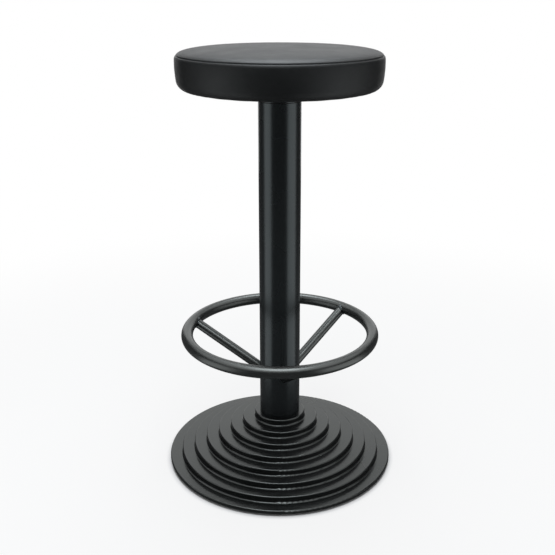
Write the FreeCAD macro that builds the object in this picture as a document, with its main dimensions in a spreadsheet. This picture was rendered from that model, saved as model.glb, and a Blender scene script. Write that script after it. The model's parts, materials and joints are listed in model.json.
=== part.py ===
import FreeCAD, Part
import math
import os
import Sketcher

# Bar stool with a footrest: stepped cast base, round column, ring footrest on three spokes and a
# round padded seat that swivels in the head of the column. Millimetres, +Z up. The origin is the
# centre of the underside, on the floor.

DIMENSIONS = [
    ("base_radius", 215, "outer radius of the cast base"),
    ("tread_pitch", 23.8, "radius from one step's edge to the next"),
    ("tread_rise", 11.9, "height from one step to the next"),
    ("rim_top", 11, "height of the lowest step's top face"),
    ("casting_wall", 5, "wall of the casting"),
    ("tread_round", 2, "round on each step's outer edge"),
    ("riser_round", 2.5, "fillet at the foot of each riser"),
    ("hub_bottom", 62, "height of the hub's underside"),
    ("socket_radius", 38.2, "recess that the column stands in"),
    ("socket_depth", 3, "depth of that recess"),
    ("bolt_hole_radius", 8.75, "clearance hole for the tie bolt"),
    ("pad_radius", 10, "rubber foot pads"),
    ("pad_height", 4, "pads, with the part let into the rim"),
    ("pad_inset", 1, "how far the pads are let in"),
    ("pad_circle", 200, "radius of the circle of pads"),
    ("column_radius", 38.05, "outside of the column tube"),
    ("column_wall", 2, "wall of the column tube"),
    ("column_top", 692.5, "height of the column's upper end"),
    ("foot_plate_thickness", 12, "threaded plate in the column's foot"),
    ("weld_leg", 4, "fillet welds inside the column and at the head"),
    ("bolt_radius", 8, "tie bolt"),
    ("bolt_length", 50, "tie bolt under its head"),
    ("bolt_head_height", 10, "tie bolt's head"),
    ("bolt_flats", 24, "tie bolt's head across flats"),
    ("spring_washer_radius", 13.5, "split washer under the tie bolt"),
    ("spring_washer_gap", 0.3, "room between the split washer and the bolt"),
    ("spring_washer_thickness", 4, "split washer under the tie bolt"),
    ("tie_washer_radius", 25, "large flat washer"),
    ("tie_washer_thickness", 4, "large flat washer"),
    ("ring_radius", 175, "footrest ring, axis of its tube"),
    ("ring_tube_radius", 11, "footrest ring, outside of its tube"),
    ("ring_wall", 1.5, "footrest ring and spokes, tube wall"),
    ("ring_height", 258, "height of the ring's tube axis"),
    ("spoke_radius", 9, "spokes, outside of their tube"),
    ("spoke_foot", 178, "height where a spoke's axis meets the column"),
    ("spoke_weld", 1.8, "width and height of the weld beads round the spokes"),
    ("housing_length", 90, "bearing housing in the column's head"),
    ("housing_radius", 19, "outside of the housing's tube"),
    ("flange_thickness", 8, "housing's flange, flush with the column's end"),
    ("housing_disc_thickness", 4, "disc that centres the housing's lower end"),
    ("housing_disc_rise", 6, "its height above the housing's lower end"),
    ("bush_radius", 15, "outside of the two bushes"),
    ("bush_length", 25, "length of each bush"),
    ("spindle_radius", 12.5, "seat spindle"),
    ("running_gap", 0.05, "radial play of the spindle in its bushes"),
    ("slip_ring_radius", 36.8, "nylon ring between column and head"),
    ("slip_ring_bore", 15.5, "its bore"),
    ("slip_ring_thickness", 1.5, "the joint line under the head"),
    ("end_play", 0.3, "gap that the retaining washer leaves"),
    ("retaining_washer_radius", 19, "washer under the housing"),
    ("retaining_washer_gap", 0.2, "room between that washer and the spindle"),
    ("retaining_washer_thickness", 2, "washer under the housing"),
    ("clip_groove_radius", 11.5, "bottom of the circlip's groove"),
    ("clip_radius", 16.5, "outside of the circlip"),
    ("clip_thickness", 1.8, "circlip"),
    ("spindle_tail", 10, "spindle below its groove"),
    ("sleeve_height", 15, "head sleeve above the joint line"),
    ("head_disc_thickness", 6, "disc inside the head sleeve"),
    ("seat_plate_radius", 100, "steel plate under the seat"),
    ("seat_plate_bevel", 0.8, "broken edge of the seat plate's underside"),
    ("seat_plate_thickness", 5, "steel plate under the seat"),
    ("screw_circle", 75, "radius of the circle of seat screws"),
    ("screw_hole_radius", 4.5, "holes in the seat plate"),
    ("screw_radius", 4, "seat screws"),
    ("screw_length", 20, "seat screws under the head"),
    ("screw_head_height", 5.3, "seat screws"),
    ("screw_flats", 13, "seat screws across flats"),
    ("screw_washer_radius", 8, "washers of the seat screws"),
    ("screw_washer_thickness", 1.6, "washers of the seat screws"),
    ("tee_barrel_radius", 5, "tee nuts in the board"),
    ("tee_barrel_length", 10, "tee nuts in the board"),
    ("tee_flange_radius", 11, "tee nuts in the board"),
    ("tee_flange_thickness", 1.5, "tee nuts in the board"),
    ("board_radius", 166, "plywood seat board"),
    ("board_thickness", 15, "plywood seat board"),
    ("board_round", 8, "round on the board's lower edge"),
    ("seat_top", 780, "top of the seat at its centre"),
    ("crown_drop", 0.7, "fall of the top face to its shoulder"),
    ("shoulder_radius", 8, "round at the top edge of the seat"),
    ("shoulder_start", 170.6, "radius where that round begins"),
    ("seam_radius", 178.4, "seam between the cover's top and side"),
    ("seam_height", 771.8, "seam between the cover's top and side"),
    ("side_arc", 160, "radius of the side's bulge"),
    ("corner_radius", 14, "round at the lower edge of the seat"),
    ("cover_thickness", 1.2, "vinyl cover"),
    ("cover_gap", 0.3, "between the foam and the cover"),
    ("hem_radius", 140, "inner edge of the cover's hem under the board"),
    ("dust_cover_inner", 102, "cloth over the underside, inner edge"),
    ("dust_cover_outer", 158, "cloth over the underside, outer edge"),
    ("dust_cover_thickness", 0.6, "cloth over the underside"),
    ("staple_circle", 150, "radius of the circle of staples"),
    ("staple_width", 10, "staple's crown"),
    ("staple_wire", 1.2, "staple's wire, flattened"),
    ("staple_crown", 0.6, "thickness of the staple's crown"),
    ("staple_leg", 7, "staple's legs"),
]

TREADS = 8
PADS = 6
SEAT_SCREWS = 4
STAPLES = 24
SPOKES = {"front": -77, "right": 43, "left": 163}  # degrees about the column
SPRING_WASHER_TURN = 348  # degrees of ring left beside its split
CIRCLIP_TURN = 320  # degrees of ring left beside its opening

RIM_BOTTOM = "(dims.pad_height - dims.pad_inset)"
COLUMN_BOTTOM = f"(dims.rim_top + {TREADS - 1} * dims.tread_rise - dims.socket_depth)"
COLUMN_BORE = "(dims.column_radius - dims.column_wall)"
HEAD_BOTTOM = "(dims.column_top + dims.slip_ring_thickness)"
PLATE_BOTTOM = "(" + HEAD_BOTTOM + " + dims.sleeve_height)"
BOARD_BOTTOM = "(" + PLATE_BOTTOM + " + dims.seat_plate_thickness)"
HOUSING_BOTTOM = "(dims.column_top - dims.housing_length)"
BUSH_BORE = "(dims.spindle_radius + dims.running_gap)"

doc = FreeCAD.newDocument("BarStool")
dims = doc.addObject("Spreadsheet::Sheet", "dims")
nodes = []


def fill_sheet():
    for row, (alias, number, meaning) in enumerate(DIMENSIONS, start=1):
        dims.set(f"A{row}", meaning)
        dims.set(f"B{row}", str(number))
        dims.setAlias(f"B{row}", alias)
    doc.recompute()


def value(expression):
    """The number that an expression of the sheet's aliases has now."""
    result = dims.evalExpression(expression)
    return float(getattr(result, "Value", result))


def bind(thing, **expressions):
    """Bind properties to expressions; a double underscore stands for a dot in the property's name."""
    for name, expression in expressions.items():
        thing.setExpression(name.replace("__", "."), expression)


def keep(thing, label):
    """Record a finished sub-part under its own label."""
    thing.Label = label
    nodes.append(thing)
    return thing


# sketches and turned bodies


def new_sketch(body, plane, name):
    support = [f for f in body.Origin.OriginFeatures if f.Role == plane][0]
    sketch = body.newObject("Sketcher::SketchObject", name)
    sketch.AttachmentSupport = (support, [""])
    sketch.MapMode = "FlatFace"
    return sketch


def pin_point(sketch, geometry, end, across, up, tag):
    """Dimension one end of a sketch element from the sketch's axes."""
    for kind, axis, expression in (("DistanceX", -2, across), ("DistanceY", -1, up)):
        distance = value(expression)
        if abs(distance) < 1e-9:
            sketch.addConstraint(Sketcher.Constraint("PointOnObject", geometry, end, axis))
            continue
        number = sketch.addConstraint(Sketcher.Constraint(kind, -1, 1, geometry, end, distance))
        sketch.renameConstraint(number, f"{kind}_{tag}")
        sketch.setExpression(f"Constraints.{kind}_{tag}", expression)


def arc_between(start, end, radius, turn):
    """The short arc from start to end: turn is +1 for anticlockwise travel and -1 for clockwise."""
    chord = end - start
    middle = (start + end) * 0.5
    depth = math.sqrt(radius**2 - (chord.Length / 2) ** 2)
    inward = FreeCAD.Vector(-chord.y, chord.x, 0).normalize() * turn
    centre = middle + inward * depth
    first, last = (start, end) if turn > 0 else (end, start)
    angles = [math.atan2(p.y - centre.y, p.x - centre.x) for p in (first, last)]
    circle = Part.Circle(centre, FreeCAD.Vector(0, 0, 1), radius)
    return Part.ArcOfCircle(circle, angles[0], angles[1])


def draw_outline(sketch, points):
    """A closed outline. A point is (across, up) or, where an arc leads to the next point,
    (across, up, turn, radius)."""
    places = [FreeCAD.Vector(value(p[0]), value(p[1]), 0) for p in points]
    ends = []
    for index, point in enumerate(points):
        start = places[index]
        end = places[(index + 1) % len(points)]
        if len(point) == 2:
            sketch.addGeometry(Part.LineSegment(start, end))
            ends.append((1, 2))
            continue
        turn, radius = point[2:]
        sketch.addGeometry(arc_between(start, end, value(radius), turn))
        ends.append((1, 2) if turn > 0 else (2, 1))
        number = sketch.addConstraint(Sketcher.Constraint("Radius", index, value(radius)))
        sketch.renameConstraint(number, f"Radius_{index}")
        sketch.setExpression(f"Constraints.Radius_{index}", radius)
    for index, point in enumerate(points):
        following = (index + 1) % len(points)
        meet = Sketcher.Constraint("Coincident", index, ends[index][1], following, ends[following][0])
        sketch.addConstraint(meet)
        pin_point(sketch, index, ends[index][0], point[0], point[1], str(index))


def draw_circle(sketch, across, radius):
    """A circle on the sketch's horizontal axis."""
    centre = FreeCAD.Vector(value(across), 0, 0)
    number = sketch.addGeometry(Part.Circle(centre, FreeCAD.Vector(0, 0, 1), value(radius)))
    pin_point(sketch, number, 3, across, "0", f"centre_{number}")
    size = sketch.addConstraint(Sketcher.Constraint("Radius", number, value(radius)))
    sketch.renameConstraint(size, f"Radius_{number}")
    sketch.setExpression(f"Constraints.Radius_{number}", radius)


def turn_profile(body, points, angle=360):
    """Revolve an outline of (radius, height) points about the body's Z axis."""
    sketch = new_sketch(body, "XZ_Plane", "Profile")
    draw_outline(sketch, points)
    turned = body.newObject("PartDesign::Revolution", "Turned")
    turned.Profile = sketch
    turned.ReferenceAxis = (sketch, ["V_Axis"])
    turned.Angle = angle
    return turned


def turned_part(label, points, height="0", angle=360):
    body = doc.addObject("PartDesign::Body", label)
    bind(body, Placement__Base__z=height)
    turn_profile(body, points, angle)
    return keep(body, label)


def ring_points(inner, outer, thickness):
    """The outline of a plain ring or, with no inner radius, of a disc."""
    return [(inner, "0"), (outer, "0"), (outer, thickness), (inner, thickness)]


def pattern_round(body, feature, count):
    """Repeat a feature evenly about the body's Z axis."""
    axis = [f for f in body.Origin.OriginFeatures if f.Role == "Z_Axis"][0]
    pattern = body.newObject("PartDesign::PolarPattern", "Pattern")
    pattern.Originals = [feature]
    pattern.Axis = (axis, [""])
    pattern.Angle = 360
    pattern.Occurrences = count
    body.Tip = pattern
    return pattern


def circle_sketch(body, circle, radius, first_angle, start):
    """One circle drawn at a height, its centre turned about the body's axis by an angle."""
    sketch = new_sketch(body, "XY_Plane", "Round")
    draw_circle(sketch, circle, radius)
    sketch.AttachmentOffset = FreeCAD.Placement(
        FreeCAD.Vector(0, 0, value(start)), FreeCAD.Rotation(FreeCAD.Vector(0, 0, 1), first_angle)
    )
    bind(sketch, AttachmentOffset__Base__z=start)
    return sketch


def holes_round(body, count, circle, radius, depth, first_angle=0, start="0"):
    """Cut round pockets upwards from a height, evenly spaced on a circle."""
    sketch = circle_sketch(body, circle, radius, first_angle, start)
    before = body.Tip.Shape.Volume
    pocket = body.newObject("PartDesign::Pocket", "Holes")
    pocket.Profile = sketch
    pocket.Reversed = True
    bind(pocket, Length=depth)
    doc.recompute()
    if pocket.Shape.Volume >= before:
        raise RuntimeError(body.Label + ": the pocket cuts nothing")
    return pattern_round(body, pocket, count)


# plain solids and groups


def cylinder(radius, length, height="0"):
    rod = doc.addObject("Part::Cylinder", "Rod")
    bind(rod, Radius=radius, Height=length, Placement__Base__z=height)
    return rod


def join(first, second):
    joined = doc.addObject("Part::Fuse", "Joined")
    joined.Base = first
    joined.Tool = second
    return joined


def cut(base, tool):
    remainder = doc.addObject("Part::Cut", "Cut")
    remainder.Base = base
    remainder.Tool = tool
    return remainder


def place_round(thing, angle, radius, height):
    """Put a solid on a circle, turned to face outwards."""
    thing.Placement = FreeCAD.Placement(
        FreeCAD.Vector(0, 0, 0), FreeCAD.Rotation(FreeCAD.Vector(0, 0, 1), angle)
    )
    bind(
        thing,
        Placement__Base__x=f"{radius} * cos({angle})",
        Placement__Base__y=f"{radius} * sin({angle})",
        Placement__Base__z=height,
    )


def group_round(label, make_one, count, radius, height, first_angle=0):
    """Separate solids on a circle, kept together as one sub-part."""
    copies = []
    for number in range(count):
        one = make_one()
        place_round(one, first_angle + number * 360 / count, radius, height)
        copies.append(one)
    group = doc.addObject("Part::Compound", label)
    group.Links = copies
    return keep(group, label)


def hexagon_bolt(radius, length, flats, head_height):
    """A bolt with its head below height 0, chamfered on its outer face, and its shank pointing up."""
    prism = doc.addObject("Part::Prism", "Prism")
    prism.Polygon = 6
    bind(prism, Circumradius=f"{flats} / (2 * cos(30))", Height=head_height)
    bind(prism, Placement__Base__z=f"-{head_height}")
    crown = doc.addObject("Part::Cone", "Crown")
    bind(crown, Radius1=f"{flats} / 2", Radius2=f"{flats} / 2 + {head_height} / tan(30)")
    bind(crown, Height=head_height, Placement__Base__z=f"-{head_height}")
    head = doc.addObject("Part::Common", "Head")
    head.Base = prism
    head.Tool = crown
    return join(head, cylinder(radius, length))


# base


def stair(inset):
    """Corners of the stepped section, outermost first, moved into the metal by an inset."""
    corners = []
    for step in range(TREADS - 1):
        edge = f"dims.base_radius - {step} * dims.tread_pitch - {inset}"
        tread = f"dims.rim_top + {step} * dims.tread_rise - {inset}"
        foot = f"dims.base_radius - {step + 1} * dims.tread_pitch - {inset}"
        corners.append((edge, tread))
        corners.append((foot, tread))
    return corners


def edges_at(shape, places):
    """Names of the full circles about the Z axis that pass within a hair of (radius, height) places."""
    names = []
    for number, edge in enumerate(shape.Edges, start=1):
        if not hasattr(edge.Curve, "Radius") or not edge.isClosed():
            continue
        centre = edge.Curve.Center
        for radius, height in places:
            if abs(edge.Curve.Radius - radius) < 0.01 and abs(centre.z - height) < 0.01:
                names.append(f"Edge{number}")
    return names


def round_edges(body, places, radius):
    doc.recompute()
    before = body.Tip
    rounded = body.newObject("PartDesign::Fillet", "Round")
    rounded.Base = (before, edges_at(before.Shape, places))
    bind(rounded, Radius=radius)
    doc.recompute()
    return rounded


def base_casting():
    body = doc.addObject("PartDesign::Body", "base_casting")
    top_tread = f"dims.rim_top + {TREADS - 1} * dims.tread_rise"
    top_edge = f"dims.base_radius - {TREADS - 1} * dims.tread_pitch"
    hub = f"({top_edge} - dims.casting_wall)"
    treads = stair("0")
    cavity = stair("dims.casting_wall")[2:]
    section = [("dims.base_radius", RIM_BOTTOM)]
    section += treads
    section += [(top_edge, top_tread), ("dims.socket_radius", top_tread)]
    section += [("dims.socket_radius", COLUMN_BOTTOM), ("dims.bolt_hole_radius", COLUMN_BOTTOM)]
    section += [("dims.bolt_hole_radius", "dims.hub_bottom"), (hub, "dims.hub_bottom")]
    section += list(reversed(cavity))
    section += [(cavity[0][0], RIM_BOTTOM)]
    turn_profile(body, section)
    corner_places = [(value(r), value(z)) for r, z in treads]
    feet = corner_places[1::2]
    edges = corner_places[0::2] + [(value(top_edge), value(top_tread))]
    edges.append((value("dims.base_radius"), value(RIM_BOTTOM)))
    round_edges(body, edges, "dims.tread_round")
    round_edges(body, feet, "dims.riser_round")
    holes_round(body, PADS, "dims.pad_circle", "dims.pad_radius", "dims.pad_inset", 30, RIM_BOTTOM)
    return keep(body, "base_casting")


def floor_pads():
    def pad():
        return cylinder("dims.pad_radius", "dims.pad_height")

    group_round("floor_pads", pad, PADS, "dims.pad_circle", "0", first_angle=30)


def tie_fasteners():
    washer_bottom = "(dims.hub_bottom - dims.tie_washer_thickness)"
    spring_bottom = f"({washer_bottom} - dims.spring_washer_thickness)"
    washer = ring_points("dims.bolt_hole_radius", "dims.tie_washer_radius", "dims.tie_washer_thickness")
    turned_part("tie_washer", washer, washer_bottom)
    bore = "dims.bolt_radius + dims.spring_washer_gap"
    spring = ring_points(bore, "dims.spring_washer_radius", "dims.spring_washer_thickness")
    turned_part("spring_washer", spring, spring_bottom, angle=SPRING_WASHER_TURN)
    bolt = hexagon_bolt("dims.bolt_radius", "dims.bolt_length", "dims.bolt_flats", "dims.bolt_head_height")
    bind(bolt, Placement__Base__z=spring_bottom)
    keep(bolt, "tie_bolt")


# column


def column_parts():
    tube = ring_points(COLUMN_BORE, "dims.column_radius", f"dims.column_top - {COLUMN_BOTTOM}")
    turned_part("column_tube", tube, COLUMN_BOTTOM)
    plate = ring_points("dims.bolt_radius", COLUMN_BORE, "dims.foot_plate_thickness")
    turned_part("foot_plate", plate, COLUMN_BOTTOM)
    bead = [
        (COLUMN_BORE, "0"),
        (COLUMN_BORE, "dims.weld_leg"),
        (f"{COLUMN_BORE} - dims.weld_leg", "0"),
    ]
    turned_part("foot_plate_weld", bead, f"{COLUMN_BOTTOM} + dims.foot_plate_thickness")


# footrest


def hoop(name, tube_radii):
    """A round bar or, with two radii, a tube bent into the footrest's ring."""
    body = doc.addObject("PartDesign::Body", name)
    bind(body, Placement__Base__z="dims.ring_height")
    sketch = new_sketch(body, "XZ_Plane", "Section")
    for radius in tube_radii:
        draw_circle(sketch, "dims.ring_radius", radius)
    bent = body.newObject("PartDesign::Revolution", "Bent")
    bent.Profile = sketch
    bent.ReferenceAxis = (sketch, ["V_Axis"])
    return body


def footrest_ring():
    bore = "dims.ring_tube_radius - dims.ring_wall"
    keep(hoop("footrest_ring", ["dims.ring_tube_radius", bore]), "footrest_ring")


def solid_hoop(extra="0"):
    return hoop("Hoop", [f"dims.ring_tube_radius + {extra}"])


def slanted_rod(radius):
    """A rod from the column's axis up to the middle of the ring's tube, in the XZ plane."""
    slope = "(dims.ring_height - dims.spoke_foot) / (dims.ring_radius - dims.column_radius)"
    rod = cylinder(radius, f"dims.ring_radius / cos(atan({slope}))")
    rod.Placement = FreeCAD.Placement(
        FreeCAD.Vector(0, 0, 0), FreeCAD.Rotation(FreeCAD.Vector(0, 1, 0), 60)
    )
    bind(rod, Placement__Base__z=f"dims.spoke_foot - dims.column_radius * {slope}")
    bind(rod, Placement__Rotation__Angle=f"90 deg - atan({slope})")
    return rod


def column_rod(extra="0"):
    return cylinder(f"dims.column_radius + {extra}", "dims.column_top", "0")


def spokes():
    """Three coped tubes, each drawn in the XZ plane and turned about the column."""
    for side, angle in SPOKES.items():
        tube = cut(slanted_rod("dims.spoke_radius"), slanted_rod("dims.spoke_radius - dims.ring_wall"))
        coped = cut(cut(tube, column_rod()), solid_hoop())
        coped.Placement.Rotation = FreeCAD.Rotation(FreeCAD.Vector(0, 0, 1), angle)
        keep(coped, "spoke_" + side)



def weld_bead(make_other):
    """A band of even width along the seam between a spoke and another solid, without either."""
    band = doc.addObject("Part::Common", "Band")
    band.Base = slanted_rod("dims.spoke_radius + dims.spoke_weld")
    band.Tool = make_other("dims.spoke_weld")
    return cut(cut(band, slanted_rod("dims.spoke_radius")), make_other())


def spoke_welds():
    for label, make_other in (("column_welds", column_rod), ("ring_welds", solid_hoop)):
        beads = []
        for angle in SPOKES.values():
            bead = weld_bead(make_other)
            bead.Placement.Rotation = FreeCAD.Rotation(FreeCAD.Vector(0, 0, 1), angle)
            beads.append(bead)
        group = doc.addObject("Part::Compound", label)
        group.Links = beads
        keep(group, label)


# swivel head, fixed side


def bearing_parts():
    flange = "dims.housing_length - dims.flange_thickness"
    housing = [
        ("dims.bush_radius", "0"),
        ("dims.housing_radius", "0"),
        ("dims.housing_radius", flange),
        (COLUMN_BORE, flange),
        (COLUMN_BORE, "dims.housing_length"),
        ("dims.bush_radius", "dims.housing_length"),
    ]
    turned_part("bearing_housing", housing, HOUSING_BOTTOM)
    disc = ring_points("dims.housing_radius", COLUMN_BORE, "dims.housing_disc_thickness")
    turned_part("housing_disc", disc, f"{HOUSING_BOTTOM} + dims.housing_disc_rise")
    bush = ring_points(BUSH_BORE, "dims.bush_radius", "dims.bush_length")
    turned_part("lower_bush", bush, HOUSING_BOTTOM)
    turned_part("upper_bush", bush, "dims.column_top - dims.bush_length")
    slip = ring_points("dims.slip_ring_bore", "dims.slip_ring_radius", "dims.slip_ring_thickness")
    turned_part("slip_ring", slip, "dims.column_top")


# swivel head, turning side


def spindle_parts():
    washer_bottom = f"({HOUSING_BOTTOM} - dims.end_play - dims.retaining_washer_thickness)"
    clip_bottom = f"({washer_bottom} - dims.clip_thickness)"
    spindle_bottom = f"({clip_bottom} - dims.spindle_tail)"
    groove_top = "dims.spindle_tail + dims.clip_thickness"
    spindle = [
        ("0", "0"),
        ("dims.spindle_radius - 1", "0"),
        ("dims.spindle_radius", "1"),
        ("dims.spindle_radius", "dims.spindle_tail"),
        ("dims.clip_groove_radius", "dims.spindle_tail"),
        ("dims.clip_groove_radius", groove_top),
        ("dims.spindle_radius", groove_top),
        ("dims.spindle_radius", f"{PLATE_BOTTOM} - {spindle_bottom}"),
        ("0", f"{PLATE_BOTTOM} - {spindle_bottom}"),
    ]
    turned_part("seat_spindle", spindle, spindle_bottom)
    clip = ring_points("dims.clip_groove_radius", "dims.clip_radius", "dims.clip_thickness")
    turned_part("circlip", clip, clip_bottom, angle=CIRCLIP_TURN)
    washer = ring_points(
        "dims.spindle_radius + dims.retaining_washer_gap", "dims.retaining_washer_radius", "dims.retaining_washer_thickness"
    )
    turned_part("retaining_washer", washer, washer_bottom)


def head_parts():
    sleeve = ring_points(COLUMN_BORE, "dims.column_radius", "dims.sleeve_height")
    turned_part("head_sleeve", sleeve, HEAD_BOTTOM)
    disc = ring_points("dims.spindle_radius", COLUMN_BORE, "dims.head_disc_thickness")
    turned_part("head_disc", disc, HEAD_BOTTOM)
    bead = [
        ("dims.column_radius", "0"),
        ("dims.column_radius + dims.weld_leg", "dims.weld_leg"),
        ("dims.column_radius", "dims.weld_leg"),
    ]
    turned_part("sleeve_weld", bead, f"{PLATE_BOTTOM} - dims.weld_leg")


def seat_plate():
    body = doc.addObject("PartDesign::Body", "seat_plate")
    bind(body, Placement__Base__z=PLATE_BOTTOM)
    thickness = "dims.seat_plate_thickness"
    bevel = "dims.seat_plate_bevel"
    section = [
        ("0", "0"),
        (f"dims.seat_plate_radius - {bevel}", "0"),
        ("dims.seat_plate_radius", bevel),
        ("dims.seat_plate_radius", thickness),
        ("0", thickness),
    ]
    turn_profile(body, section)
    doc.recompute()
    holes_round(body, SEAT_SCREWS, "dims.screw_circle", "dims.screw_hole_radius", thickness, 45)
    keep(body, "seat_plate")


# seat


def seat_fasteners():
    washer_bottom = f"({PLATE_BOTTOM} - dims.screw_washer_thickness)"

    def screw():
        return hexagon_bolt(
            "dims.screw_radius", "dims.screw_length", "dims.screw_flats", "dims.screw_head_height"
        )

    def washer():
        blank = cylinder("dims.screw_washer_radius", "dims.screw_washer_thickness")
        return cut(blank, cylinder("dims.screw_hole_radius", "dims.screw_washer_thickness"))

    def tee_nut():
        barrel = cylinder("dims.tee_barrel_radius", "dims.tee_barrel_length")
        flange_height = "dims.tee_barrel_length - dims.tee_flange_thickness"
        flange = cylinder("dims.tee_flange_radius", "dims.tee_flange_thickness", flange_height)
        return cut(join(barrel, flange), cylinder("dims.screw_radius", "dims.tee_barrel_length"))

    circle = "dims.screw_circle"
    nut_bottom = f"{BOARD_BOTTOM} + dims.board_thickness - dims.tee_barrel_length"
    group_round("seat_screws", screw, SEAT_SCREWS, circle, washer_bottom, 45)
    group_round("screw_washers", washer, SEAT_SCREWS, circle, washer_bottom, 45)
    group_round("tee_nuts", tee_nut, SEAT_SCREWS, circle, nut_bottom, 45)


def seat_board():
    body = doc.addObject("PartDesign::Body", "seat_board")
    bind(body, Placement__Base__z=BOARD_BOTTOM)
    section = [
        ("0", "0"),
        ("dims.board_radius - dims.board_round", "0", 1, "dims.board_round"),
        ("dims.board_radius", "dims.board_round"),
        ("dims.board_radius", "dims.board_thickness"),
        ("0", "dims.board_thickness"),
    ]
    turn_profile(body, section)
    doc.recompute()
    flange_seat = "dims.board_thickness - dims.tee_flange_thickness"
    circle = "dims.screw_circle"
    holes_round(body, SEAT_SCREWS, circle, "dims.tee_barrel_radius", "dims.board_thickness", 45)
    doc.recompute()
    holes_round(
        body, SEAT_SCREWS, circle, "dims.tee_flange_radius", "dims.tee_flange_thickness", 45, flange_seat
    )
    keep(body, "seat_board")


def skin(inset):
    """The cover's outer surface moved inwards: hem corner, side foot, seam, shoulder and centre."""
    hem = ("dims.seam_radius - dims.corner_radius", f"{BOARD_BOTTOM} - dims.cover_thickness + {inset}")
    foot_height = f"{BOARD_BOTTOM} - dims.cover_thickness + dims.corner_radius"
    return {
        "hem": hem,
        "foot": (f"dims.seam_radius - {inset}", foot_height),
        "seam": (f"dims.seam_radius - {inset}", "dims.seam_height"),
        "shoulder": ("dims.shoulder_start", f"dims.seat_top - dims.crown_drop - {inset}"),
        "centre": ("0", f"dims.seat_top - {inset}"),
        "corner_arc": f"dims.corner_radius - {inset}",
        "side_arc": f"dims.side_arc - {inset}",
        "shoulder_arc": f"dims.shoulder_radius - {inset}",
    }


def cover_side():
    outside = skin("0")
    inside = skin("dims.cover_thickness")
    section = [
        ("dims.hem_radius", outside["hem"][1]),
        (*outside["hem"], 1, outside["corner_arc"]),
        (*outside["foot"], 1, outside["side_arc"]),
        outside["seam"],
        (*inside["seam"], -1, inside["side_arc"]),
        (*inside["foot"], -1, inside["corner_arc"]),
        inside["hem"],
        ("dims.hem_radius", inside["hem"][1]),
    ]
    turned_part("cover_side", section)


def cover_top():
    outside = skin("0")
    inside = skin("dims.cover_thickness")
    section = [
        (*outside["seam"], 1, outside["shoulder_arc"]),
        outside["shoulder"],
        outside["centre"],
        inside["centre"],
        (*inside["shoulder"], -1, inside["shoulder_arc"]),
        inside["seam"],
    ]
    turned_part("cover_top", section)


def seat_foam():
    inside = skin("(dims.cover_thickness + dims.cover_gap)")
    board_top = f"{BOARD_BOTTOM} + dims.board_thickness"
    section = [
        ("0", board_top),
        ("dims.board_radius", board_top),
        ("dims.board_radius", inside["foot"][1]),
        (*inside["foot"], 1, inside["side_arc"]),
        (*inside["seam"], 1, inside["shoulder_arc"]),
        inside["shoulder"],
        inside["centre"],
    ]
    turned_part("seat_foam", section)


def dust_cover():
    """Cloth on the underside, stepping down over the cover's hem."""
    thickness = "dims.dust_cover_thickness"
    hem_face = f"{BOARD_BOTTOM} - dims.cover_thickness"
    step = "dims.hem_radius - 1"
    section = [
        ("dims.dust_cover_inner", f"{BOARD_BOTTOM} - {thickness}"),
        (f"{step} - {thickness}", f"{BOARD_BOTTOM} - {thickness}"),
        (f"{step} - {thickness}", f"{hem_face} - {thickness}"),
        ("dims.dust_cover_outer", f"{hem_face} - {thickness}"),
        ("dims.dust_cover_outer", hem_face),
        (step, hem_face),
        (step, BOARD_BOTTOM),
        ("dims.dust_cover_inner", BOARD_BOTTOM),
    ]
    turned_part("dust_cover", section)


def staple():
    """A staple pointing up, its crown below height 0 and across the outward direction."""
    crown = doc.addObject("Part::Box", "Crown")
    bind(crown, Length="dims.staple_wire", Width="dims.staple_width", Height="dims.staple_crown")
    bind(
        crown,
        Placement__Base__x="-dims.staple_wire / 2",
        Placement__Base__y="-dims.staple_width / 2",
        Placement__Base__z="-dims.staple_crown",
    )
    legs = []
    for near in ("-dims.staple_width / 2", "dims.staple_width / 2 - dims.staple_crown"):
        leg = doc.addObject("Part::Box", "Leg")
        bind(leg, Length="dims.staple_wire", Width="dims.staple_crown", Height="dims.staple_leg")
        bind(leg, Placement__Base__x="-dims.staple_wire / 2", Placement__Base__y=near)
        legs.append(leg)
    return join(join(crown, legs[0]), legs[1])


def staples():
    face = f"{BOARD_BOTTOM} - dims.cover_thickness - dims.dust_cover_thickness"
    group_round("staples", staple, STAPLES, "dims.staple_circle", face)


def check_document():
    doc.recompute()
    for thing in doc.Objects:
        if "Invalid" in thing.State or "Error" in thing.State:
            raise RuntimeError(thing.Name + " failed: " + str(thing.State))
    for node in nodes:
        if node.Shape.isNull() or not node.Shape.isValid():
            raise RuntimeError(node.Label + " has no valid shape")


def write_parts():
    os.makedirs("parts", exist_ok=True)
    for node in nodes:
        node.Shape.exportStep(f"parts/{node.Label}.step")
        box = node.Shape.BoundBox
        solids = len(node.Shape.Solids)
        volume = node.Shape.Volume / 1000
        print(f"{node.Label}: {solids} solids, {volume:.2f} cm3, z {box.ZMin:.2f} to {box.ZMax:.2f}")


def build_all():
    fill_sheet()
    base_casting()
    floor_pads()
    tie_fasteners()
    column_parts()
    footrest_ring()
    spokes()
    spoke_welds()
    bearing_parts()
    spindle_parts()
    head_parts()
    seat_plate()
    seat_fasteners()
    seat_board()
    seat_foam()
    cover_top()
    cover_side()
    dust_cover()
    staples()
    check_document()
    write_parts()


build_all()
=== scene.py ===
import json
import math

import bpy
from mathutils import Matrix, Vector, noise


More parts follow.
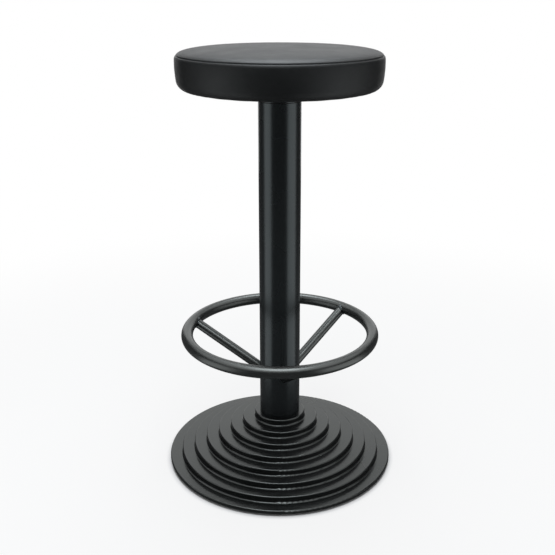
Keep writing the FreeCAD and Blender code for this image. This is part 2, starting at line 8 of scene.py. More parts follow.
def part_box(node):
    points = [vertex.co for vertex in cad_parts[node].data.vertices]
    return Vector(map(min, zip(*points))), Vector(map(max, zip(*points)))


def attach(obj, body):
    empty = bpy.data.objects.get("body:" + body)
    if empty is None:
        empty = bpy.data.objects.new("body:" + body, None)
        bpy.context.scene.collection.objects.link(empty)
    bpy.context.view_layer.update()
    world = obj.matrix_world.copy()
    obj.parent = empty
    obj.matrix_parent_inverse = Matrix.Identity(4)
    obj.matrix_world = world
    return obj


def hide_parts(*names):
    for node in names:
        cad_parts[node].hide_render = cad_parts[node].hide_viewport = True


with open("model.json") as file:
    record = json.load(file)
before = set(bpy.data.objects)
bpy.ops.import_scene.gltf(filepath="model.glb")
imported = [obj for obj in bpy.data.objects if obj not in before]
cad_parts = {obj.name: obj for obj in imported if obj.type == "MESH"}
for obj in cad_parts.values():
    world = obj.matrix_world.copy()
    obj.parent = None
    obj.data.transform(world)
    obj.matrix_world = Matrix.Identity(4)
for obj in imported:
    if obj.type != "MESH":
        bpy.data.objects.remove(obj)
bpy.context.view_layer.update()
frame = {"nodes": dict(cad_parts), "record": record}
print("frame loaded:", len(frame["nodes"]), "nodes")


# small helpers

def hexColour(code):
    channels = [int(code[i:i + 2], 16) / 255 for i in (1, 3, 5)]
    linear = [c / 12.92 if c <= 0.04045 else ((c + 0.055) / 1.055) ** 2.4 for c in channels]
    return (*linear, 1)


def addNode(tree, kind, settings=None, links=None):
    node = tree.nodes.new(kind)
    for key, value in (settings or {}).items():
        if isinstance(key, int) or key in node.inputs:
            node.inputs[key].default_value = value
        else:
            setattr(node, key, value)
    for key, source in (links or {}).items():
        tree.links.new(source, node.inputs[key])
    return node


def newMaterial(name):
    material = bpy.data.materials.new(name)
    material.use_nodes = True
    material.node_tree.nodes.clear()
    return material, material.node_tree


def closeMaterial(tree, shader):
    addNode(tree, "ShaderNodeOutputMaterial", {}, {"Surface": shader.outputs[0]})


def mixColours(tree, first, second, share):
    mix = addNode(tree, "ShaderNodeMix", {"data_type": "RGBA", 6: hexColour(first), 7: hexColour(second)},
                  {0: share})
    return mix.outputs[2]


def perMetre(millimetres):  # a pattern that repeats every so many millimetres, on Object coordinates
    return 1000 / millimetres


def objectPoint(tree):
    return addNode(tree, "ShaderNodeTexCoord").outputs["Object"]


def deselectAll():
    if bpy.context.object and bpy.context.object.mode != "OBJECT":
        bpy.ops.object.mode_set(mode="OBJECT")
    bpy.ops.object.select_all(action="DESELECT")


def selectOnly(piece):
    deselectAll()
    piece.select_set(True)
    bpy.context.view_layer.objects.active = piece


def radiusOf(point):
    return math.hypot(point[0], point[1])


# what the frame says about the places

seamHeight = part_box("cover_side")[1][2]
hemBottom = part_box("cover_side")[0][2]
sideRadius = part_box("cover_side")[1][0]
boardLow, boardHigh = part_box("seat_board")
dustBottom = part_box("dust_cover")[0][2]


# the upholstered seat

seatCover = {
    "segments": 320,          # points round the seat
    "topInner": 0.120,        # the middle of the top is one grid inside this radius
    "crown": 0.0116,          # height of the middle above the seam, before it is blown up
    "seamDrop": 0.0005,       # the sewn seam is pulled this far down
    "top": (                  # inward of the seam, height above it
        (0.0334, 0.0106), (0.0214, 0.0098), (0.0130, 0.0085), (0.0080, 0.0071), (0.0050, 0.0057),
        (0.0030, 0.0043), (0.0014, 0.0027), (0.0005, 0.0013), (0, 0)),
    "topSteps": (0.0050, 0.0018, 0.0007),  # the rings lie closer towards the seam
    "proud": 0.0006,          # the widest line stands this far outside the frame's side
    "side": (                 # drop below the seam, inset from the widest line
        (0, 0.0034), (0.0009, 0.0023), (0.0022, 0.0013), (0.0038, 0.0006), (0.0062, 0.0002),
        (0.0110, 0), (0.0208, 0.0001), (0.0268, 0.0005), (0.0348, 0.0013)),
    "sideSteps": (0.0006, 0.0034),
    "sideLowInset": 0.0021,   # inset where the side begins to roll under the board
    "corner": 0.0186,         # radius of that roll
    "cornerLift": 0.0006,     # it reaches the hem on a slight slope
    "hemRings": (0.154, 0.148),
    "hemInner": 0.1400,       # where the hem ends under the board
    "boardGap": (0.0001, 0.0003, 0.0002),  # how far it keeps from the board, below, outside and above it
    "slack": 0.0012,          # how much smaller the form starts, before it is blown up
    "slackEase": (0.02, 0.01),  # it takes this far from the seam to reach that, on the top and down the side
    "cloth": {"quality": 6, "mass": 0.3, "tension_stiffness": 25, "compression_stiffness": 25,
              "shear_stiffness": 8, "bending_stiffness": 1.5, "use_pressure": True,
              "uniform_pressure_force": 4.0},
    "frames": 20,
    "middle": 0.02,           # the lift of the middle is measured inside this radius
    "cap": 0.0030,            # a point moves no further than this
    "seamHold": 0.0027,       # the seam and this much either side of it stay put
    "overBoard": 0.0040,      # all that stands this far above the board is stretched over the foam
    "evenShare": 0.30,        # the cover is cut to its form, so a ring takes only this much of its swelling
    "ownShare": 0.12,         # and taut, so a point keeps only this much of what its ring doesn't do
    "seamZone": 0.030,        # all that the seam does to the cover ends this far from it
    "grooveDepth": 0.0007,
    "grooveWidth": 0.0008,
    "puckerDepth": 0.00030,   # the thread gathers the vinyl between its stitches
    "puckerPitch": 0.0056,
    "puckerReach": 0.0060,
    "puckerSeeds": (3.7, 8.1),  # the top panel and the side panel pucker each in its own way
    "pleatDepth": 0.00035,    # and the hem lies in small pleats under the board
    "pleatPitch": 0.0120,
    "pleatRadius": 0.155,     # where that pitch is measured
    "pleatStart": 0.178,      # they grow from here inwards, over the next width
    "pleatEase": 0.02,
    "pleatSeed": 1.3,
    "hemReach": 0.004,        # the hem lies within this height of the seat's lowest point
}


def arcPoints(centre, radius, first, last, count):
    turns = [math.radians(first + (last - first) * i / count) for i in range(count + 1)]
    return [(centre[0] + radius * math.cos(t), centre[1] + radius * math.sin(t)) for t in turns]


def splineAt(t, before, start, end, after):
    bend = 2 * before - 5 * start + 4 * end - after + t * (3 * (start - end) + after - before)
    return start + 0.5 * t * (end - before + t * bend)


def curveThrough(points, spacing):  # a smooth curve through all the points, in steps of about the spacing
    smooth = []
    for i in range(len(points) - 1):
        near = [points[min(max(k, 0), len(points) - 1)] for k in range(i - 1, i + 3)]
        steps = max(1, round(math.dist(near[1], near[2]) / spacing))
        for t in [k / steps for k in range(steps)]:
            smooth.append(tuple(splineAt(t, *along) for along in zip(*near)))
    return smooth + [points[-1]]


def crownHeight(s, seam, r):  # the middle of the top is a very shallow bowl turned over
    rimIn, rimUp = s["top"][0]
    return seam[1] + s["crown"] - (s["crown"] - rimUp) * (r / (seam[0] - rimIn)) ** 2


def seatOutline(s):  # the section as (radius, height), from the top over the seam and round to the hem
    widest = sideRadius + s["proud"]
    seam = (widest - s["side"][0][1], seamHeight - s["seamDrop"])
    top = [(s["topInner"], crownHeight(s, seam, s["topInner"]))]
    top += [(seam[0] - inward, seam[1] + up) for inward, up in s["top"]]
    points = curveThrough(top[:5], s["topSteps"][0])
    points += curveThrough(top[4:7], s["topSteps"][1])[1:]
    points += curveThrough(top[6:], s["topSteps"][2])[1:]
    seamIndex = len(points) - 1
    sideLow = (widest - s["sideLowInset"], hemBottom + s["cornerLift"] + s["corner"])
    side = [(widest - inset, seam[1] - drop) for drop, inset in s["side"]] + [sideLow]
    points += curveThrough(side[:3], s["sideSteps"][0])[1:]
    points += curveThrough(side[2:], s["sideSteps"][1])[1:]
    sideEnd = len(points) - 1
    points += arcPoints((sideLow[0] - s["corner"], sideLow[1]), s["corner"], 0, -90, 9)[1:]
    points += [(r, hemBottom) for r in (*s["hemRings"], s["hemInner"])]
    below, outside, above = s["boardGap"]
    inner = [(s["hemInner"], boardLow[2] - below), (boardHigh[0] + outside, boardLow[2] - below),
             (boardHigh[0] + outside, boardHigh[2] + above), (s["topInner"], boardHigh[2] + above)]
    return points, inner, seamIndex, sideEnd


def ringStack(name, points, segments):
    # a circle, pulled out ring by ring along the points of the section
    deselectAll()
    r, z = points[0]
    bpy.ops.mesh.primitive_circle_add(vertices=segments, radius=r, fill_type="NOTHING", location=(0, 0, z))
    piece = bpy.context.object
    piece.name = name
    bpy.ops.object.transform_apply(location=True, rotation=True, scale=True)
    bpy.ops.object.mode_set(mode="EDIT")
    bpy.ops.mesh.select_mode(type="EDGE")
    bpy.ops.mesh.select_all(action="SELECT")
    for nextR, nextZ in points[1:]:
        bpy.ops.mesh.extrude_edges_move(TRANSFORM_OT_translate={"value": (0, 0, nextZ - z)})
        if abs(nextR - r) > 1e-7:
            bpy.ops.transform.resize(value=(nextR / r, nextR / r, 1), center_override=(0, 0, nextZ))
        r, z = nextR, nextZ
    bpy.ops.object.mode_set(mode="OBJECT")
    return piece


def selectRing(piece, radius, height, reach=1e-5):
    bpy.ops.object.mode_set(mode="EDIT")
    bpy.ops.mesh.select_mode(type="VERT")
    bpy.ops.mesh.select_all(action="DESELECT")
    bpy.ops.object.mode_set(mode="OBJECT")
    for vertex in piece.data.vertices:
        vertex.select = abs(radiusOf(vertex.co) - radius) < reach and abs(vertex.co.z - height) < reach
    bpy.ops.object.mode_set(mode="EDIT")
    bpy.ops.mesh.select_mode(type="EDGE")


def closeRing(piece, radius, height, segments):
    selectRing(piece, radius, height)
    bpy.ops.mesh.fill_grid(span=segments // 4)
    bpy.ops.object.mode_set(mode="OBJECT")


def outwardNormals(piece):
    bpy.ops.object.mode_set(mode="EDIT")
    bpy.ops.mesh.select_all(action="SELECT")
    bpy.ops.mesh.remove_doubles(threshold=1e-6)
    bpy.ops.mesh.normals_make_consistent(inside=False)
    bpy.ops.object.mode_set(mode="OBJECT")


def applyAll(piece):
    selectOnly(piece)
    for modifier in list(piece.modifiers):
        bpy.ops.object.modifier_apply(modifier=modifier.name)


def blowUp(piece, s, free, rings, form):
    rest = [v.co.copy() for v in piece.data.vertices]
    group = piece.vertex_groups.new(name="held")
    held = [v.index for v in piece.data.vertices if not free(v.co)]
    group.add(held, 1, "REPLACE")
    cloth = piece.modifiers.new("cloth", "CLOTH")
    for key, value in s["cloth"].items():
        setattr(cloth.settings, key, value)
    cloth.settings.effector_weights.gravity = 0
    cloth.settings.vertex_group_mass = "held"
    cloth.collision_settings.use_collision = False
    cloth.point_cache.frame_start, cloth.point_cache.frame_end = 1, s["frames"]
    for step in range(1, s["frames"] + 1):
        bpy.context.scene.frame_set(step)
    applyAll(piece)
    bpy.context.scene.frame_set(1)
    moves = [vertex.co - start for vertex, start in zip(piece.data.vertices, rest)]
    furthest = max(move.length for move in moves)
    even = {}
    for ring in range(rings):  # what the whole ring does
        around = range(ring * s["segments"], (ring + 1) * s["segments"])
        outward = sum(moves[i].xy.dot(rest[i].xy.normalized()) for i in around) / s["segments"]
        upward = sum(moves[i].z for i in around) / s["segments"]
        for i in around:
            even[i] = Vector((*(rest[i].xy.normalized() * outward), upward))
    central = [move.z for start, move in zip(rest, moves) if radiusOf(start) < s["middle"] and free(start)]
    lift = sum(central) / len(central) - even[0].z
    for i, vertex in enumerate(piece.data.vertices):
        if free(rest[i]):
            middle = Vector((0, 0, even[0].z + lift * (1 - (radiusOf(rest[i]) / s["topInner"]) ** 2)))
            shared = even.get(i, middle)
            swelling = rest[i] + shared - form[i]
            move = swelling * s["evenShare"] + (moves[i] - shared) * s["ownShare"]
            vertex.co = form[i] + move * min(1, s["cap"] / max(move.length, 1e-9))
    piece.vertex_groups.clear()
    print(f"  blown up: furthest point {furthest * 1000:.2f} mm before the cap")


def makeSeatCover(s):
    points, inner, seamIndex, sideEnd = seatOutline(s)
    seam = points[seamIndex]
    piece = ringStack("seatCover", points + inner, s["segments"])
    closeRing(piece, points[0][0], points[0][1], s["segments"])
    for vertex in piece.data.vertices:
        if radiusOf(vertex.co) < s["topInner"] - 0.0001:  # in the grid, and not on the ring round it
            vertex.co.z = crownHeight(s, seam, radiusOf(vertex.co))
    closeRing(piece, inner[-1][0], inner[-1][1], s["segments"])
    outwardNormals(piece)
    sideLow = points[sideEnd][1]

    def isFree(p):
        offSeam = math.hypot(radiusOf(p) - seam[0], p.z - seam[1]) > s["seamHold"]
        return offSeam and p.z > max(sideLow, boardHigh[2] + s["overBoard"])

    form = [v.co.copy() for v in piece.data.vertices]
    onTop, downSide = s["slackEase"]
    for vertex in piece.data.vertices:  # a slightly smaller form, to be blown up
        if isFree(vertex.co):
            r = radiusOf(vertex.co)
            if vertex.co.z > seam[1]:
                vertex.co.z -= s["slack"] * min(1, (seam[0] - r) / onTop)
            else:
                z = vertex.co.z
                shrink = s["slack"] * min(1, (seam[1] - z) / downSide, (z - sideLow) / downSide)
                vertex.co.x *= (r - max(0, shrink)) / r
                vertex.co.y *= (r - max(0, shrink)) / r
    blowUp(piece, s, isFree, len(points), form)
    subdivide = piece.modifiers.new("smooth", "SUBSURF")
    subdivide.levels = subdivide.render_levels = 1
    applyAll(piece)
    sewSeam(piece, s, seam)
    bpy.ops.object.shade_smooth()
    return piece


def sewSeam(piece, s, seam):  # the groove and puckers of the seam, and the pleats of the hem
    normals = [v.normal.copy() for v in piece.data.vertices]
    for vertex, normal in zip(piece.data.vertices, normals):
        p = vertex.co
        r = radiusOf(p)
        away = math.hypot(r - seam[0], p.z - seam[1])
        ring = Vector((p.x / r, p.y / r)) if r > 1e-6 else Vector((1, 0))
        if away < s["seamZone"]:
            wave = ring * (seam[0] / s["puckerPitch"])
            seed = s["puckerSeeds"][0 if p.z > seam[1] else 1]
            pucker = noise.noise(Vector((wave.x, wave.y, seed)))
            pucker += 0.5 * noise.noise(Vector((wave.x * 2.1, wave.y * 2.1, seed + 5)))
            depth = s["grooveDepth"] * math.exp(-(away / s["grooveWidth"]) ** 2)
            fade = math.exp(-(away / s["puckerReach"]) ** 1.5)
            vertex.co -= normal * (depth + s["puckerDepth"] * pucker * fade)
        elif p.z < hemBottom + s["hemReach"] and r > s["hemInner"] - 0.001 and normal.z < -0.3:
            wave = ring * (s["pleatRadius"] / s["pleatPitch"])
            pleat = abs(noise.noise(Vector((wave.x, wave.y, s["pleatSeed"]))))
            towardsHem = min(1, max(0, (s["pleatStart"] - r) / s["pleatEase"]))
            vertex.co.z -= s["pleatDepth"] * (1 - 3 * pleat) * towardsHem


# the dust cover

dustCover = {
    "segments": 192,
    "inner": 0.1022,
    "rings": (0.110, 0.120, 0.130, 0.1375, 0.142, 0.146, 0.150, 0.154),
    "outer": 0.1580,
    "thickness": 0.0005,
    "boardGap": 0.0003,
    "hemStep": 0.1410,     # inside this radius the cloth rises to the board
    "staples": 24,
    "stapleCircle": 0.150,
    "puff": 0.000245,      # how far the edge hangs between two staples
    "sag": 0.0004,         # how far the middle hangs
    "sagEven": 0.6,        # its wrinkles leave it this share of that, more or less
    "sagEase": 0.012,      # it takes this far from the staples to hang so
    "plateHold": 0.0040,   # and this close to the plate it is held up
    "wrinkles": 90,        # to the metre
}


def makeDustCover(s):
    low = dustBottom + s["thickness"]
    high = boardLow[2] - s["boardGap"]
    radii = (s["inner"], *s["rings"], s["outer"])
    points = [(r, low if r > s["hemStep"] else high) for r in radii]
    piece = ringStack("dustCover", points, s["segments"])
    for vertex in piece.data.vertices:
        angle = math.atan2(vertex.co.y, vertex.co.x)
        r = radiusOf(vertex.co)
        betweenStaples = 0.5 - 0.5 * math.cos(angle * s["staples"])
        outward = min(1, max(0, (r - s["stapleCircle"]) / (s["outer"] - s["stapleCircle"])))
        vertex.co.z -= s["puff"] * betweenStaples * outward
        if s["inner"] + s["plateHold"] < r < s["hemStep"]:
            inward = min(1, (s["stapleCircle"] - r) / s["sagEase"])
            wrinkle = noise.noise(Vector((vertex.co.x * s["wrinkles"], vertex.co.y * s["wrinkles"], 2.2)))
            vertex.co.z -= s["sag"] * inward * (s["sagEven"] + wrinkle)
    thick = piece.modifiers.new("cloth", "SOLIDIFY")
    thick.thickness = s["thickness"]
    thick.offset = -1
    applyAll(piece)
    outwardNormals(piece)
    bpy.ops.object.shade_smooth_by_angle(angle=math.radians(40))
    return piece


print("modelling the seat")
seatCoverPiece = makeSeatCover(seatCover)
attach(seatCoverPiece, "seat")
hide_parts("cover_top", "cover_side", "seat_foam")

print("modelling the dust cover")
dustCoverPiece = makeDustCover(dustCover)
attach(dustCoverPiece, "seat")
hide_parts("dust_cover")


# materials

def powderCoat(name, colour, ior, roughness, peel, peelHeight, speckle, paintedReflectionTint):
    # polyester powder, sprayed and baked: satin black, whose faint orange peel softens every highlight.
    # The real grit is finer than 0.9 mm and is drawn so coarse to show. The IOR starts from the powder's
    # 1.5 and is raised to match the object, which mirrors more.
    material, tree = newMaterial(name)
    point = objectPoint(tree)
    peelNoise = addNode(tree, "ShaderNodeTexNoise", {"Scale": perMetre(peel), "Detail": 1.5},
                        {"Vector": point})
    fine = addNode(tree, "ShaderNodeTexNoise", {"Scale": perMetre(0.9), "Detail": 2.0}, {"Vector": point})
    rubbed = addNode(tree, "ShaderNodeTexNoise", {"Scale": perMetre(140), "Detail": 3.0},
                     {"Vector": point})
    rough = addNode(tree, "ShaderNodeMapRange", {"From Min": 0.3, "From Max": 0.7,
                    "To Min": roughness - 0.03, "To Max": roughness + 0.04}, {"Value": rubbed.outputs[0]})
    tone = mixColours(tree, *colour, fine.outputs[0])
    bump = addNode(tree, "ShaderNodeBump", {"Strength": 0.5, "Distance": peelHeight},
                   {"Height": peelNoise.outputs[0]})
    grit = addNode(tree, "ShaderNodeBump", {"Strength": speckle, "Distance": 0.00004},
                   {"Height": fine.outputs[0], "Normal": bump.outputs[0]})
    # The specular tint colours every reflection slightly cool: a painted tint that stands in for the colour
    # of the studio's light.
    shader = addNode(tree, "ShaderNodeBsdfPrincipled", {"IOR": ior, "Specular Tint": hexColour(paintedReflectionTint)},
                     {"Base Color": tone, "Roughness": rough.outputs[0], "Normal": grit.outputs[0]})
    closeMaterial(tree, shader)
    return material


def leatherette(name):
    # PVC-coated fabric, calendered with a pebble grain: dull black, shiny only where it bends.
    # The pebbles are drawn 1.5 mm apart, as the coarsest real ones are, to show.
    material, tree = newMaterial(name)
    point = objectPoint(tree)
    warp = addNode(tree, "ShaderNodeTexNoise", {"Scale": perMetre(6), "Detail": 2.0}, {"Vector": point})
    bent = addNode(tree, "ShaderNodeMix", {"data_type": "VECTOR", 0: 0.0008},
                   {4: point, 5: warp.outputs["Color"]})
    pebble = addNode(tree, "ShaderNodeTexVoronoi", {"feature": "DISTANCE_TO_EDGE", "Scale": perMetre(1.5)},
                     {"Vector": bent.outputs[1]})
    valley = addNode(tree, "ShaderNodeMapRange", {"From Min": 0.0, "From Max": 0.30},
                     {"Value": pebble.outputs["Distance"]})
    broad = addNode(tree, "ShaderNodeTexNoise", {"Scale": perMetre(45), "Detail": 3.0}, {"Vector": point})
    rough = addNode(tree, "ShaderNodeMapRange", {"From Min": 0.3, "From Max": 0.7, "To Min": 0.41,
                    "To Max": 0.48}, {"Value": broad.outputs[0]})
    # the valleys between the pebbles are drawn darker: painted shade in the grain
    tone = mixColours(tree, "#08090a", "#0e0f10", valley.outputs[0])
    grain = addNode(tree, "ShaderNodeBump", {"Strength": 0.8, "Distance": 0.00013},
                    {"Height": valley.outputs[0]})
    # its specular tint colours the reflections slightly cool: a painted tint standing in for the studio's
    # light
    shader = addNode(tree, "ShaderNodeBsdfPrincipled", {"IOR": 1.51, "Specular Tint": hexColour("#f2f8fa")},
                     {"Base Color": tone, "Roughness": rough.outputs[0], "Normal": grain.outputs[0]})
    closeMaterial(tree, shader)
    return material


def metal(name, light, dark, roughness, spangle, stretch=1.0):
    # bare or plated steel: a grey metal whose fine marks break up its reflections
    material, tree = newMaterial(name)
    point = objectPoint(tree)
    squeezed = addNode(tree, "ShaderNodeMapping", {"Scale": (1, 1, stretch)}, {"Vector": point})
    marks = addNode(tree, "ShaderNodeTexNoise", {"Scale": perMetre(spangle), "Detail": 3.0},
                    {"Vector": squeezed.outputs[0]})
    tone = mixColours(tree, dark, light, marks.outputs[0])
    rough = addNode(tree, "ShaderNodeMapRange", {"From Min": 0.3, "From Max": 0.7,
                    "To Min": roughness - 0.06, "To Max": roughness + 0.08}, {"Value": marks.outputs[0]})
    bump = addNode(tree, "ShaderNodeBump", {"Strength": 0.25, "Distance": 0.00005},
                   {"Height": marks.outputs[0]})
    shader = addNode(tree, "ShaderNodeBsdfPrincipled", {"Metallic": 1.0},
                     {"Base Color": tone, "Roughness": rough.outputs[0], "Normal": bump.outputs[0]})
    closeMaterial(tree, shader)
    return material


def moulded(name, colour, roughness, ior, grain):
    # nylon or rubber from a mould: dull and even, with the mould's fine texture
    material, tree = newMaterial(name)
    point = objectPoint(tree)
    fine = addNode(tree, "ShaderNodeTexNoise", {"Scale": perMetre(grain), "Detail": 2.0}, {"Vector": point})
    tone = mixColours(tree, *colour, fine.outputs[0])
    bump = addNode(tree, "ShaderNodeBump", {"Strength": 0.3, "Distance": 0.00005},
                   {"Height": fine.outputs[0]})
    shader = addNode(tree, "ShaderNodeBsdfPrincipled", {"IOR": ior, "Roughness": roughness},
                     {"Base Color": tone, "Normal": bump.outputs[0]})
    closeMaterial(tree, shader)
    return material


def birchPly(name):
    # rotary-cut birch, eleven plies glued crosswise: pale faces, darker lines round the edge
    material, tree = newMaterial(name)
    point = objectPoint(tree)
    along = addNode(tree, "ShaderNodeMapping", {"Scale": (1, 9, 1)}, {"Vector": point})
    grain = addNode(tree, "ShaderNodeTexNoise", {"Scale": perMetre(28), "Detail": 6.0, "Distortion": 0.6},
                    {"Vector": along.outputs[0]})
    height = addNode(tree, "ShaderNodeSeparateXYZ", {}, {"Vector": point})
    scaled = addNode(tree, "ShaderNodeMath", {"operation": "MULTIPLY", 1: perMetre(1.36)},
                     {0: height.outputs["Z"]})
    layer = addNode(tree, "ShaderNodeMath", {"operation": "PINGPONG", 1: 0.5}, {0: scaled.outputs[0]})
    line = addNode(tree, "ShaderNodeMapRange", {"From Min": 0.0, "From Max": 0.5},
                   {"Value": layer.outputs[0]})
    weak = addNode(tree, "ShaderNodeMath", {"operation": "MULTIPLY", 1: 0.35}, {0: line.outputs[0]})
    face = mixColours(tree, "#b98d58", "#d9b98a", grain.outputs[0])
    tone = addNode(tree, "ShaderNodeMix", {"data_type": "RGBA", "blend_type": "MULTIPLY",
                   7: hexColour("#8a6a45")}, {0: weak.outputs[0], 6: face})
    bump = addNode(tree, "ShaderNodeBump", {"Strength": 0.3, "Distance": 0.0001},
                   {"Height": grain.outputs[0]})
    shader = addNode(tree, "ShaderNodeBsdfPrincipled", {"IOR": 1.5, "Roughness": 0.62},
                     {"Base Color": tone.outputs[2], "Normal": bump.outputs[0]})
    closeMaterial(tree, shader)
    return material


def cutFoam(name):
    # polyurethane foam cut from a block: cream, dull, full of open cells
    material, tree = newMaterial(name)
    point = objectPoint(tree)
    cells = addNode(tree, "ShaderNodeTexVoronoi", {"Scale": perMetre(1.2)}, {"Vector": point})
    # the cells are drawn darker where they sink in: painted shade in the pores
    tone = mixColours(tree, "#e6d7a8", "#b9a877", cells.outputs["Distance"])
    bump = addNode(tree, "ShaderNodeBump", {"Strength": 0.7, "Distance": 0.0005, "invert": True},
                   {"Height": cells.outputs["Distance"]})
    shader = addNode(tree, "ShaderNodeBsdfPrincipled", {"IOR": 1.45, "Roughness": 0.95},
                     {"Base Color": tone, "Normal": bump.outputs[0]})
    closeMaterial(tree, shader)
    return material


def spunbond(name):
    # non-woven polypropylene, spunbonded: matt black felted threads with a grid of pressed dots.
    # The real threads are far finer than 0.8 mm and are drawn so coarse to show.
    material, tree = newMaterial(name)
    point = objectPoint(tree)
    dots = addNode(tree, "ShaderNodeTexVoronoi", {"Scale": perMetre(1.8), "Randomness": 0.12},
                   {"Vector": point})
    pressed = addNode(tree, "ShaderNodeMapRange", {"From Min": 0.22, "From Max": 0.36},
                      {"Value": dots.outputs["Distance"]})
    threads = addNode(tree, "ShaderNodeTexNoise", {"Scale": perMetre(0.8), "Detail": 4.0,
                      "Distortion": 1.5}, {"Vector": point})
    tone = mixColours(tree, "#0e0e0f", "#232325", pressed.outputs[0])
    height = addNode(tree, "ShaderNodeMath", {"operation": "MULTIPLY"},
                     {0: pressed.outputs[0], 1: threads.outputs[0]})
    bump = addNode(tree, "ShaderNodeBump", {"Strength": 0.6, "Distance": 0.0002},
                   {"Height": height.outputs[0]})
    shader = addNode(tree, "ShaderNodeBsdfPrincipled", {"IOR": 1.49, "Roughness": 0.85,
                     "Sheen Weight": 0.15}, {"Base Color": tone, "Normal": bump.outputs[0]})
    closeMaterial(tree, shader)
    return material


footrest = ("footrest_ring", "spoke_front", "spoke_right", "spoke_left")  # these get a lighter, more mirroring copy of the tube's coat: painted light, standing in for the light that falls on the ring

print("making materials")
finishes = {
    # the tube's coat again, drawn a little darker: painted shade that deepens the dark risers of the base
    "cast_base": powderCoat("powderCoatedCastIronBlack", ("#050506", "#09090a"), ior=1.86, roughness=0.24,
                            peel=3.5, peelHeight=0.00006, speckle=0.12, paintedReflectionTint="#eaf2f0"),
    "black_coat": powderCoat("powderCoatedSteelTubeBlack", ("#080809", "#0c0c0d"), ior=1.78, roughness=0.26,
                             peel=2.4, peelHeight=0.00004, speckle=0.2, paintedReflectionTint="#e2f1f5"),
    # the tube's coat again, drawn a level lighter and mirroring more: painted light on the footrest ring and
    # spokes
    "footrest_painted_lit_coat": powderCoat("powderCoatedSteelBlackPaintedLight", ("#09090a", "#0d0d0e"), ior=2.10,
                                roughness=0.31, peel=2.4, peelHeight=0.00004, speckle=0.2, paintedReflectionTint="#ebf2f0"),
    "bare_steel": metal("turnedMildSteel", "#b9b8b4", "#96948f", roughness=0.34, spangle=3.0, stretch=8.0),
    "zinc_steel": metal("zincPlatedSteel", "#c9ccd0", "#a6a9ad", roughness=0.30, spangle=1.6),
    "spring_steel": metal("oilBlackenedSpringSteel", "#3d3c3d", "#29292a", roughness=0.36, spangle=1.2),
    "nylon": moulded("mouldedNylonBlack", ("#161617", "#1d1d1e"), roughness=0.48, ior=1.53, grain=0.7),
    "pad_rubber": moulded("mouldedRubberBlack", ("#0f0f0f", "#171717"), roughness=0.75, ior=1.52, grain=1.1),
    "plywood": birchPly("rotaryCutBirchPlywood"),
    "foam": cutFoam("cutPolyurethaneFoam"),
    "vinyl": leatherette("calenderedVinylLeatherette"),
    "dust_cloth": spunbond("spunbondPolypropyleneBlack"),
    "staple_wire": metal("galvanisedStapleWire", "#bfc1c4", "#9b9ea2", roughness=0.35, spangle=1.0),
}
for part in frame["record"]["subparts"]:
    node = part["node"]
    slot = "footrest_painted_lit_coat" if node in footrest else part["material_slot"]
    frame["nodes"][node].data.materials.clear()
    frame["nodes"][node].data.materials.append(finishes[slot])
for piece, slot in ((seatCoverPiece, "vinyl"), (dustCoverPiece, "dust_cloth")):
    piece.data.materials.clear()
    piece.data.materials.append(finishes[slot])


# floor, light and camera

studio = {
    "floorSize": 30.0,
    "fill": 0.35,                  # the white surroundings' light on dull surfaces
    "shadowCore": (0.214, 0.224),  # under the base the floor shows only its own shading
    "shadowNear": (0.50, 0.28),    # within this radius, in metres, this much of it still shows
    "shadowFar": (1.60, 0.0),      # from this radius on, none does
    "softbox": {"at": (-0.03, -0.05, 2.10), "aim": (-0.03, -0.04, 0), "size": (1.1, 2.4), "watts": 38,
                "colour": "#f7fbff"},
    "tent": {                      # grey cloth round the set, seen by the gloss alone
        "colour": "#6c6c6c",
        "lift": 0.001,             # it lies this far above the floor
        "floor": (0.2165, 0.40, 2.60),  # radii: where it starts, where its gaps start, and its wall
        "wall": (0.90, 2.05, 3.00),     # heights: of the gaps, the wall, and the valance at the back
        "back": 147.5,             # degrees round from the front: the open back starts here
        "gaps": ((-90, -47.5), (42.5, 95)),  # and white floor shows between these
        "segments": 144,
    },
}
camera = {"at": (0.0005, -1.4507, 0.8940), "tilt": 72.014, "lens": 53.85, "sensor": 36,
          "shift": (-0.0046, -0.0523)}


def seesBackground(tree):
    # 1 for a ray from the camera, and for one that meets the background in metal, gloss or glass
    path = addNode(tree, "ShaderNodeLightPath")
    mirrored = addNode(tree, "ShaderNodeMath", {"operation": "MAXIMUM"},
                       {0: path.outputs["Is Glossy Ray"], 1: path.outputs["Is Transmission Ray"]})
    either = addNode(tree, "ShaderNodeMath", {"operation": "MAXIMUM"},
                     {0: path.outputs["Is Camera Ray"], 1: mirrored.outputs[0]})
    return either.outputs[0]


def makeWorld(s):
    world = bpy.data.worlds.new("studioWorld")
    bpy.context.scene.world = world
    world.use_nodes = True
    tree = world.node_tree
    tree.nodes.clear()
    strength = addNode(tree, "ShaderNodeMapRange", {"To Min": s["fill"], "To Max": 1.0},
                       {"Value": seesBackground(tree)})
    light = addNode(tree, "ShaderNodeBackground", {"Color": (1, 1, 1, 1)}, {"Strength": strength.outputs[0]})
    addNode(tree, "ShaderNodeOutputWorld", {}, {"Surface": light.outputs[0]})


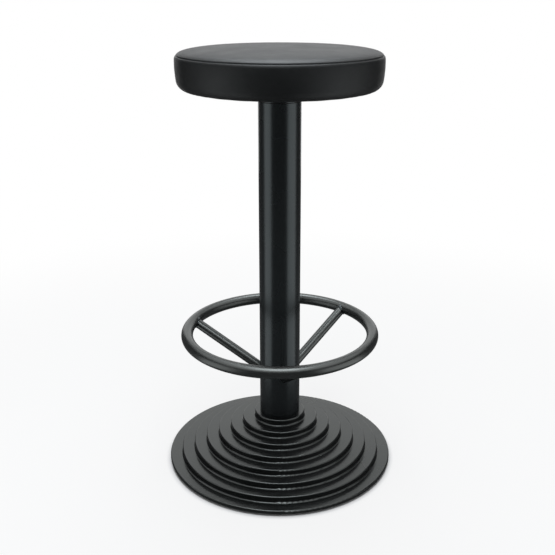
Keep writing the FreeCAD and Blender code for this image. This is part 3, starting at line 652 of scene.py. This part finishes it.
def makeFloor(s):
    deselectAll()
    bpy.ops.mesh.primitive_plane_add(size=s["floorSize"], location=(0, 0, 0))
    plane = bpy.context.object
    plane.name = "studioFloor"
    material, tree = newMaterial("palePaperFloor")
    paper = addNode(tree, "ShaderNodeBsdfDiffuse", {"Color": hexColour("#f4f4f4")})
    white = addNode(tree, "ShaderNodeEmission", {"Strength": 1.0})
    away = addNode(tree, "ShaderNodeVectorMath", {"operation": "LENGTH"}, {0: objectPoint(tree)})
    near, far = s["shadowNear"], s["shadowFar"]
    plain = addNode(tree, "ShaderNodeMapRange", {"interpolation_type": "SMOOTHSTEP", "From Min": near[0],
                    "From Max": far[0], "To Min": 1 - near[1], "To Max": 1 - far[1]},
                    {"Value": away.outputs["Value"]})
    core = addNode(tree, "ShaderNodeMapRange", {"From Min": s["shadowCore"][0],
                   "From Max": s["shadowCore"][1]}, {"Value": away.outputs["Value"]})
    both = addNode(tree, "ShaderNodeMath", {"operation": "MULTIPLY"},
                   {0: core.outputs[0], 1: plain.outputs[0]})
    share = addNode(tree, "ShaderNodeMath", {"operation": "MULTIPLY"},
                    {0: seesBackground(tree), 1: both.outputs[0]})
    shader = addNode(tree, "ShaderNodeMixShader", {},
                     {0: share.outputs[0], 1: paper.outputs[0], 2: white.outputs[0]})
    closeMaterial(tree, shader)
    plane.data.materials.append(material)


def openTent(place, s):  # where the cloth is left open
    fromFront = math.degrees(math.atan2(place.x, -place.y))
    gapTop, wallTop = s["wall"][:2]
    atBack = abs(fromFront) > s["back"]
    if place.z > wallTop:
        return not atBack
    if place.z > 2 * s["lift"] and atBack:
        return True
    low = place.z < gapTop and radiusOf(place) > s["floor"][1]
    return low and any(first < fromFront < last for first, last in s["gaps"])


def makeTent(s):
    wall = s["floor"][-1]
    section = [(radius, s["lift"]) for radius in s["floor"]] + [(wall, z) for z in s["wall"]]
    tent = ringStack("greyTent", section, s["segments"])
    for face in tent.data.polygons:
        face.select = openTent(face.center, s)
    bpy.ops.object.mode_set(mode="EDIT")
    bpy.ops.mesh.select_mode(type="FACE")
    bpy.ops.mesh.delete(type="FACE")
    bpy.ops.object.mode_set(mode="OBJECT")
    material, tree = newMaterial("greyTentCloth")
    closeMaterial(tree, addNode(tree, "ShaderNodeBsdfDiffuse", {"Color": hexColour(s["colour"])}))
    tent.data.materials.append(material)
    for sight in ("camera", "diffuse", "transmission", "shadow", "volume_scatter"):
        setattr(tent, "visible_" + sight, False)


def makeSoftbox(s):
    lamp = bpy.data.lights.new("overheadSoftbox", "AREA")
    lamp.shape = "RECTANGLE"
    lamp.size, lamp.size_y = s["size"]
    lamp.energy = s["watts"]
    lamp.color = hexColour(s["colour"])[:3]
    box = bpy.data.objects.new("overheadSoftbox", lamp)
    bpy.context.scene.collection.objects.link(box)
    box.location = s["at"]
    box.rotation_euler = (Vector(s["aim"]) - Vector(s["at"])).to_track_quat("-Z", "Y").to_euler()
    box.visible_camera = False


def placeCamera(s):
    lens = bpy.data.cameras.new("studioCamera")
    lens.lens = s["lens"]
    lens.sensor_width = s["sensor"]
    lens.shift_x, lens.shift_y = s["shift"]
    viewer = bpy.data.objects.new("studioCamera", lens)
    bpy.context.scene.collection.objects.link(viewer)
    viewer.location = s["at"]
    viewer.rotation_euler = (math.radians(s["tilt"]), 0, 0)
    bpy.context.scene.camera = viewer


print("setting up the studio")
makeWorld(studio)
makeFloor(studio)
makeTent(studio["tent"])
makeSoftbox(studio["softbox"])
placeCamera(camera)
bpy.context.scene.view_settings.view_transform = "Standard"

print("all pieces in place")
